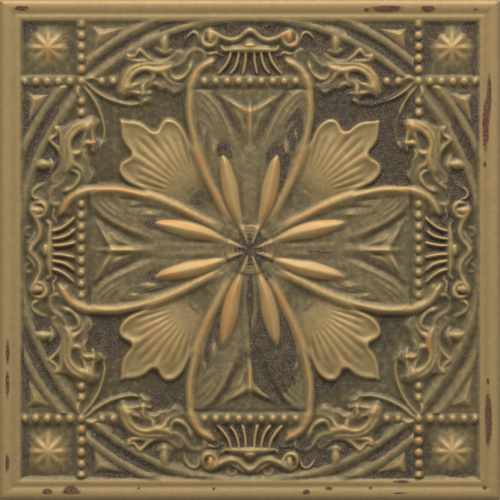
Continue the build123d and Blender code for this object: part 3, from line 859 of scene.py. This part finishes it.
# Places where the patina is strong: x, y, half width, half height, strength
STAINS = [
    (45, 45, 24, 24, 1), (57, 33, 9, 12, 1), (36, 59, 14, 8, 1), (18, 48, 5, 9, 1.1), (11, 37, 5, 7, 1.5),
    (13, 27, 2.5, 8, 1.3), (0, 0, 8, 8, 1.4), (0, -20, 2, 11, 1.3), (37, 15, 9, 4, 0.5),
    (27, -1, 8, 1.5, 1.25), (-40, 10, 7, 2, 1.2), (6, 75, 9, 6, 1), (26, 84, 7, 7, 1), (76, 8, 8, 9, 0.9),
    (84, 25, 7, 10, 0.9), (55, 79, 20, 12, 1), (86, 50, 6, 16, 1), (8, 88, 11, 4, 0.9), (74, 88, 4, 5, 0.8),
    (88, 88, 4, 4, 0.9), (89, 80, 3, 12, 0.6), (60, 52, 8, 14, 0.9), (-60, 33, 8, 7, 0.6),
    (-30, 59, 4, 6, 0.8), (-21, 21, 4, 4, 0.9), (-83, 47, 8, 20, 1), (-29, 86, 8, 6, 1), (-8, 87, 8, 4, 0.9),
    (-9, 75, 7, 5, 1), (-18, 46, 4, 8, 0.5), (-84, 33, 6, 7, 0.8), (-88, 87, 4, 5, 0.7), (-73, 81, 3, 9, 0.6),
    (-52, 80, 14, 9, 0.6), (-88, 60, 4, 8, 0.7), (-10, 40, 4, 4, 1.2), (-12, -27, 2, 7, 1.2),
    (-67, 46, 5, 6, 0.5), (-84, -45, 9, 19, 1), (-58, -34, 9, 9, 1), (-36, -57, 13, 8, 0.68),
    (-16, -36, 5, 14, 0.7), (-40, -12, 11, 5, 0.8), (-8, -75, 9, 6, 1), (-52, -81, 17, 11, 1),
    (-91, -80, 4, 14, 0.7), (-52, -91, 12, 3, 0.6), (-14, -60, 5, 5, 0.5), (-83, -22, 5, 7, 0.5),
    (9, -42, 10, 19, 2), (31, -55, 8, 6, 0.9), (56, -32, 6, 8, 1), (60, -80, 15, 10, 0.9),
    (26, -81, 18, 7, 0.8), (55, -90, 12, 4, 0.9), (79, -18, 7, 10, 0.6), (87, -45, 4, 8, 0.6),
    (5, -76, 9, 6, 0.9), (84, -88, 8, 4, 0.6), (72, -74, 4, 4, 0.6), (6, -14, 5, 8, 0.7),
    (45, -14, 8, 5, 0.3),
]
# Chips along the rim: x, y, half width, half height
CHIPS = [
    (54.7, 96.2, 5.6, 1.5), (71, 96.2, 2.7, 1.4), (46.5, 95.7, 0.9, 0.8), (90.1, 95.9, 0.8, 0.7),
    (95.4, 61.5, 0.9, 7.5), (94, 49.5, 1.2, 9.5), (93.7, 34, 0.6, 1.2), (-91, 96.3, 2.6, 1),
    (-96.7, -40.7, 0.8, 4.4), (-96.8, -53.8, 0.8, 4.8), (-97.2, -85.2, 1.2, 3.4), (-80.8, -96.8, 2.1, 1.6),
    (-71.3, -96.6, 3.4, 2.6), (-3.8, -98.8, 2.8, 1.2), (-44.5, -95, 0.7, 0.6), (-14.4, -95.3, 0.7, 0.6),
    (95.1, -67.2, 1.3, 10.2), (94.9, -52.5, 0.6, 1.2), (93.6, -94.9, 0.9, 0.8), (22.4, -97.3, 1.5, 1.7),
    (59.4, -98.4, 3.6, 1.6), (31.4, -95.2, 1.6, 0.7), (48, -94.9, 0.7, 0.6), (60.5, -92.4, 3, 0.6),
]


def patches(x, y):
    amount = np.zeros_like(x)
    for cx, cy, rx, ry, strength in STAINS:
        t = ((x - cx) / rx) ** 2 + ((y - cy) / ry) ** 2
        amount = np.maximum(amount, strength * np.clip(1.5 - t, 0, 1))
    return amount


def chips(x, y):
    """Above zero inside a chip, and falling to -1 away from it."""
    amount = np.full(len(x), -1.0)
    for cx, cy, rx, ry in CHIPS:
        t = np.hypot((x - cx) / rx, (y - cy) / ry)
        amount = np.maximum(amount, np.clip(1 - t, -1, 1))
    return amount


def worn_places(x, y):
    """Shares of the rubbed tops and of the coppery flanks, at points brought into the octant."""
    spots = Relief(x, y)
    at = np.nonzero((x > 1) & (y > 6) & (y < 78) & (x < 56))[0]
    deep = -spots.inside(smooth_line(petal_outline(), 5, closed=True), at)
    petal = ease(deep + 0.5) * ease(((x[at] + y[at]) / math.sqrt(2) - 25) / 16)
    lance_gap, lance_left, values = spots.along(smooth_line(LANCE), at)
    stem_gap, stem_left, _ = spots.along(smooth_line(STEM), at)
    lance_top = 1.7 * ease((values[:, 0] + 0.2 - lance_gap) / 0.7)
    stem_top = 0.6 * ease((1.6 - stem_gap) / 0.6)
    rubbed_and_highlight = np.zeros(len(x))
    rubbed_and_highlight[at] = np.maximum.reduce([petal, lance_top, stem_top])
    rubbed_and_highlight = np.maximum(rubbed_and_highlight, 0.8 * ease((8.5 - np.hypot(x - CORNER, y - CORNER)) / 3))
    flank = np.zeros(len(x))
    lance_side = 0.9 * (ease((lance_gap - 0.5) / 0.5) * ease((3 - lance_gap) / 1.3) * ~lance_left)
    stem_side = 0.45 * (ease((stem_gap - 0.2) / 0.5) * ease((2.1 - stem_gap) / 1.3) * stem_left)
    flank[at] = np.maximum(lance_side, stem_side)
    return rubbed_and_highlight, flank


# Flat map: the face large at the lower left, the four sides as strips beside it, the back small above it
MARGIN = 0.006
FACE_SCALE = 0.0041
SIDE_SCALE = 0.0036
BACK_SCALE = 0.0007
STRIPS_FROM = 0.834
STRIP_PITCH = 0.041
BACK_FROM = 0.846
TOP_KIND = 4
BACK_KIND = 5
# A face is on a side when it lies far out and low, and doesn't look down
SIDE_FROM = 99
SIDE_BELOW = 8
DOWNWARD = -0.8


def lay_out(mesh, verts, glazed):
    """Flat map of the piece, in which the four sides are kinds 0 to 3."""
    faces = len(mesh.polygons)
    x, y, z = read(mesh.polygons, "center", 3).T * 1000
    upward = read(mesh.polygons, "normal", 3)[:, 2]
    outer = (np.maximum(np.abs(x), np.abs(y)) > SIDE_FROM) & (z < SIDE_BELOW) & (upward > DOWNWARD)
    side = np.where(np.abs(x) > np.abs(y), np.where(x > 0, 0, 2), np.where(y > 0, 1, 3))
    kind = np.where(outer, side, np.where(np.arange(faces) >= glazed, BACK_KIND, TOP_KIND))
    kind = np.repeat(kind, read(mesh.polygons, "loop_total", 1, np.int32))
    px, py, pz = verts[read(mesh.loops, "vertex_index", 1, np.int32)].T
    beside = STRIPS_FROM + STRIP_PITCH * kind + pz * SIDE_SCALE
    u = np.where(kind < TOP_KIND, beside, MARGIN + (px + HALF_SIDE) * FACE_SCALE)
    v = MARGIN + (np.where((kind == 1) | (kind == 3), px, py) + HALF_SIDE) * FACE_SCALE
    back = kind == BACK_KIND
    u = np.where(back, MARGIN + (HALF_SIDE - px) * BACK_SCALE, u)
    v = np.where(back, BACK_FROM + (py + HALF_SIDE) * BACK_SCALE, v)
    layer = mesh.uv_layers.new(name="OFBake")
    layer.data.foreach_set("uv", np.column_stack([u, v]).ravel())


def make_piece():
    z = quarter_heights()
    verts, faces, border = build_front(z)
    glazed = len(faces)
    front = len(verts)
    added, back = build_back(verts, border)
    verts = np.vstack([verts, np.array(added)])
    faces += back

    mesh = bpy.data.meshes.new("relief_tile")
    mesh.from_pydata((verts * 0.001).tolist(), [], faces)
    is_back = np.arange(len(faces)) >= glazed
    mesh.polygons.foreach_set("use_smooth", ~is_back)
    mesh.polygons.foreach_set("material_index", is_back.astype(np.int32))

    # Marks for the materials, with every point brought into the octant as u, v
    x, y = verts[:, 0], verts[:, 1]
    swap = np.abs(x) > np.abs(y)
    u = np.where(swap, np.abs(y), np.abs(x))
    v = np.where(swap, np.abs(x), np.abs(y))
    on_face = (np.arange(len(verts)) < front) & (v < MARKS_END) & (verts[:, 2] > MARKS_ABOVE)
    rubbed_and_highlight, flank = worn_places(u, v)
    for name, values, elsewhere in (
        # recess: depth below the surroundings, which darkens the gold as painted shade and also places the
        # patina
        ("recess", sample(soften(z, 1.8 / STEP) - z, u, v), 0.0),
        # crest: height above the surroundings, which pales the gold as a painted highlight and also gates the
        # copper wear
        ("crest", sample(z - soften(z, 0.45 / STEP), u, v), 0.0),
        ("patch", patches(x, y), -1.0),
        ("chip", chips(x, y), -1.0),
        ("petal", rubbed_and_highlight, -1.0),
        ("flank", flank, -1.0),
        ("ornament", 1.0 * (v < ORNAMENT_END), -1.0),
    ):
        values = np.where(on_face, values, elsewhere)
        mesh.attributes.new(name, "FLOAT", "POINT").data.foreach_set("value", values)
    lay_out(mesh, verts, glazed)

    # Normals of the full height field on the thinned field
    slope_u, slope_v = np.gradient(soften(z, 0.6), STEP)
    du = sample(slope_u, u, v)
    dv = sample(slope_v, u, v)
    nx = np.where(swap, -dv, -du) * np.sign(x)
    ny = np.where(swap, -du, -dv) * np.sign(y)
    normals = np.column_stack([nx, ny, np.ones(len(verts))])
    normals /= np.linalg.norm(normals, axis=1)[:, None]
    normals[~(on_face & (v < FINE_END))] = 0
    mesh.normals_split_custom_set_from_vertices(normals.tolist())
    mesh.update()
    piece = bpy.data.objects.new("relief_tile", mesh)
    bpy.context.scene.collection.objects.link(piece)
    return piece


def colour(r, g, b):
    """Colour written as it shows on a screen, 0 to 255, as the shader's own linear values."""
    out = []
    for c in (r, g, b):
        c /= 255
        out.append(c / 12.92 if c <= 0.04045 else ((c + 0.055) / 1.055) ** 2.4)
    return (*out, 1.0)


class Nodes:
    """Short calls for building a node tree."""

    def __init__(self, name):
        self.material = bpy.data.materials.new(name)
        self.material.use_nodes = True
        self.tree = self.material.node_tree
        self.shader = self.tree.nodes["Principled BSDF"]

    def put(self, socket, value):
        if isinstance(value, bpy.types.NodeSocket):
            self.tree.links.new(value, socket)
        else:
            socket.default_value = value

    def look(self, name, value):
        self.put(self.shader.inputs[name], value)

    def node(self, kind, output, inputs, **settings):
        node = self.tree.nodes.new("ShaderNode" + kind)
        for name, value in settings.items():
            setattr(node, name, value)
        for name, value in inputs.items():
            self.put(node.inputs[name], value)
        return node.outputs[output]

    def place(self, shift=(0, 0, 0)):
        spot = self.node("TexCoord", "Object", {})
        return self.node("VectorMath", 0, {0: spot, 1: shift})

    def level(self):
        return self.node("SeparateXYZ", "Z", {0: self.place()})

    def math(self, what, *values, clamp=False):
        return self.node("Math", 0, dict(enumerate(values)), operation=what, use_clamp=clamp)

    def times(self, a, b):
        return self.math("MULTIPLY", a, b)

    def plus(self, a, b):
        return self.math("ADD", a, b)

    def ramp(self, value, low, high, out_low=0, out_high=1):
        inputs = {"Value": value, "From Min": low, "From Max": high, "To Min": out_low, "To Max": out_high}
        return self.node("MapRange", 0, inputs, interpolation_type="SMOOTHSTEP")

    def noise(self, scale, detail, rough, shift=(0, 0, 0)):
        inputs = {"Scale": scale, "Detail": detail, "Roughness": rough, "Vector": self.place(shift)}
        return self.node("TexNoise", "Fac", inputs)

    def attribute(self, name):
        return self.node("Attribute", "Fac", {}, attribute_name=name)

    def mix(self, share, a, b):
        return self.node("Mix", "Result", {"Factor": share, "A": a, "B": b}, data_type="RGBA")

    def bump(self, height, strength):
        return self.node("Bump", 0, {"Strength": strength, "Distance": 0.0003, "Height": height})


def glaze_material():
    n = Nodes("antique_lustre_glaze")
    recess, crest, patch, chip, petal, flank, ornament = (
        n.attribute(name) for name in ("recess", "crest", "patch", "chip", "petal", "flank", "ornament")
    )
    height = n.math("MULTIPLY_ADD", n.level(), 1000, -GROUND)
    broad = n.noise(22, 4, 0.6)
    middle = n.noise(120, 4, 0.65, (0.3, 0.1, 0))
    small = n.noise(420, 3, 0.6, (0.1, 0.4, 0))
    fine = n.noise(1300, 2, 0.6)

    # Gold lustre: deeper and greener where the glaze lies low, paler on the rubbed petals, lances and stems.
    # Darker gold in the recesses is painted shade, and paler gold on the crests is a painted highlight
    tone = n.plus(n.times(broad, 0.6), n.times(middle, 0.4))
    rim = n.ramp(ornament, 0, 1, 1, 0)
    # Paler gold on the crests, weaker on the rim: a painted highlight
    rubbed_and_highlight = n.times(n.ramp(crest, 0.03, 0.2, 0, 0.75), n.ramp(rim, 0, 1, 1, 0.3))
    gold = colour(80, 71, 48)
    for share, tint in (
        (n.ramp(height, -0.1, 1), (117, 103, 71)),
        (n.ramp(height, 0.9, 1.9), (160, 135, 88)),
        (n.ramp(height, 1.9, 2.8), (180, 148, 96)),
        (n.ramp(tone, 0.4, 0.62, 0, 0.3), (120, 112, 78)),
        (n.ramp(small, 0.45, 0.7, 0, 0.22), (186, 160, 108)),
        (n.ramp(small, 0.55, 0.3, 0, 0.2), (70, 60, 40)),
        (n.ramp(fine, 0.4, 0.7, 0, 0.22), (76, 64, 42)),
        (n.times(petal, 0.42), (178, 148, 95)),
        (n.times(rim, 0.6), (166, 138, 90)),
        # painted shade in the recesses
        (n.ramp(recess, 0.05, 0.5, 0, 0.52), (66, 54, 36)),
        # painted highlight on the crests
        (rubbed_and_highlight, (184, 151, 95)),
    ):
        gold = n.mix(share, gold, colour(*tint))

    # Copper showing through on the rubbed stems, leaves and stars
    worn = n.ramp(n.noise(75, 3, 0.6, (0.7, 0.2, 0)), 0.5, 0.66)
    for share in (n.ramp(height, 1.35, 1.9), n.ramp(crest, -0.05, 0.08), ornament):
        worn = n.times(worn, share)
    side = n.times(n.ramp(n.noise(60, 3, 0.6, (0.2, 0.9, 0)), 0.42, 0.6), flank)
    worn = n.math("MAXIMUM", worn, n.times(side, n.ramp(height, 0.9, 1.3)))
    gold = n.mix(n.times(worn, 0.55), gold, colour(182, 116, 58))

    # Dark patina left in the ground of the relief, with pale grains in it
    edge = n.plus(n.times(middle, 0.9), n.times(small, 0.5))
    edge = n.plus(n.plus(edge, n.times(patch, 0.75)), n.times(recess, 0.35))
    over = n.times(n.math("SUBTRACT", patch, 1, clamp=True), 0.9)
    low = n.math("SUBTRACT", n.plus(height, n.times(middle, 0.5)), over)
    patina = n.times(n.ramp(edge, 1.16, 1.26), n.ramp(low, 1.12, 1.36, 1, 0))
    patina = n.times(patina, n.ramp(petal, 0.1, 0.7, 1, 0))
    grains = n.ramp(n.noise(2300, 2, 0.6), 0.52, 0.68)
    dark = n.mix(n.ramp(small, 0.35, 0.65), colour(45, 36, 26), colour(68, 56, 42))
    dark = n.mix(n.times(grains, 0.5), dark, colour(164, 146, 112))
    base = n.mix(n.times(patina, 0.92), gold, dark)

    # Chips in the glaze of the rim show the red-brown body
    ragged = n.plus(chip, n.times(n.math("SUBTRACT", small, 0.5), 1.1))
    chipped = n.ramp(ragged, 0, 0.12)
    base = n.mix(n.ramp(ragged, -0.3, 0, 0, 0.5), base, colour(80, 68, 44))
    base = n.mix(chipped, base, n.mix(n.ramp(fine, 0.4, 0.65), colour(74, 46, 34), colour(116, 76, 58)))

    # Below the glaze line the sides are bare clay
    bare = n.ramp(n.plus(n.times(n.level(), 1000), n.times(middle, 1.6)), 3.1, 3.4, 1, 0)
    base = n.mix(bare, base, n.mix(n.ramp(fine, 0.4, 0.65), colour(140, 86, 64), colour(168, 112, 86)))

    dull = n.math("MAXIMUM", n.math("MAXIMUM", patina, chipped), bare)
    n.look("Base Color", base)
    n.look("Metallic", n.ramp(dull, 0, 1, 0.45, 0))
    n.look("Roughness", n.ramp(dull, 0, 1, 0.63, 0.9))
    texture = n.plus(n.plus(n.times(fine, 0.6), middle), n.times(n.times(grains, patina), 0.5))
    n.look("Normal", n.bump(n.math("SUBTRACT", texture, n.times(chipped, 1.5)), 0.3))
    return n.material


def body_material():
    n = Nodes("fired_clay_body")
    broad = n.noise(30, 4, 0.6)
    fine = n.noise(900, 4, 0.65)
    base = n.mix(n.ramp(broad, 0.35, 0.65), colour(150, 92, 66), colour(166, 108, 80))
    n.look("Base Color", n.mix(n.ramp(fine, 0.45, 0.75, 0, 0.6), base, colour(184, 134, 106)))
    n.look("Roughness", 0.9)
    pores = n.node("TexVoronoi", "Distance", {"Scale": 1400, "Vector": n.place()})
    n.look("Normal", n.bump(n.plus(fine, pores), 0.35))
    return n.material


piece = make_piece()
piece.data.materials.append(glaze_material())
piece.data.materials.append(body_material())
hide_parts("tile")
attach(piece, "root")

# Floor, light and camera
floor_mesh = bpy.data.meshes.new("floor")
floor_mesh.from_pydata([(-3, -3, 0), (3, -3, 0), (3, 3, 0), (-3, 3, 0)], [], [(0, 1, 2, 3)])
floor = bpy.data.objects.new("floor", floor_mesh)
floor_nodes = Nodes("pale_floor")
floor_nodes.look("Base Color", (0.72, 0.71, 0.69, 1))
floor_nodes.look("Roughness", 0.8)
floor_mesh.materials.append(floor_nodes.material)

lamp_data = bpy.data.lights.new("key", "AREA")
lamp_data.shape = "RECTANGLE"
lamp_data.size, lamp_data.size_y = 0.9, 0.6
lamp_data.energy = 37.5
lamp = bpy.data.objects.new("key", lamp_data)
lamp.location = (0.0, 1.43, 0.93)
lamp.rotation_euler = (Vector((0, 0, 0)) - lamp.location).to_track_quat("-Z", "Y").to_euler()

# The camera looks straight down from far off, and the tile's top just fills the frame
distance = 4.0
framed = 0.1996
camera_data = bpy.data.cameras.new("camera")
camera_data.sensor_width = 36
camera_data.lens = 36 * (distance - 0.005) / framed
camera_data.clip_start = 0.1
camera_data.clip_end = 20
camera = bpy.data.objects.new("camera", camera_data)
camera.location = (0, 0, distance)

scene = bpy.context.scene
for thing in (floor, lamp, camera):
    scene.collection.objects.link(thing)
scene.camera = camera
scene.world = scene.world or bpy.data.worlds.new("world")
scene.world.use_nodes = True
background = scene.world.node_tree.nodes["Background"]
background.inputs["Color"].default_value = (1.0, 0.99, 0.97, 1)
background.inputs["Strength"].default_value = 0.42
scene.view_settings.view_transform = "Standard"
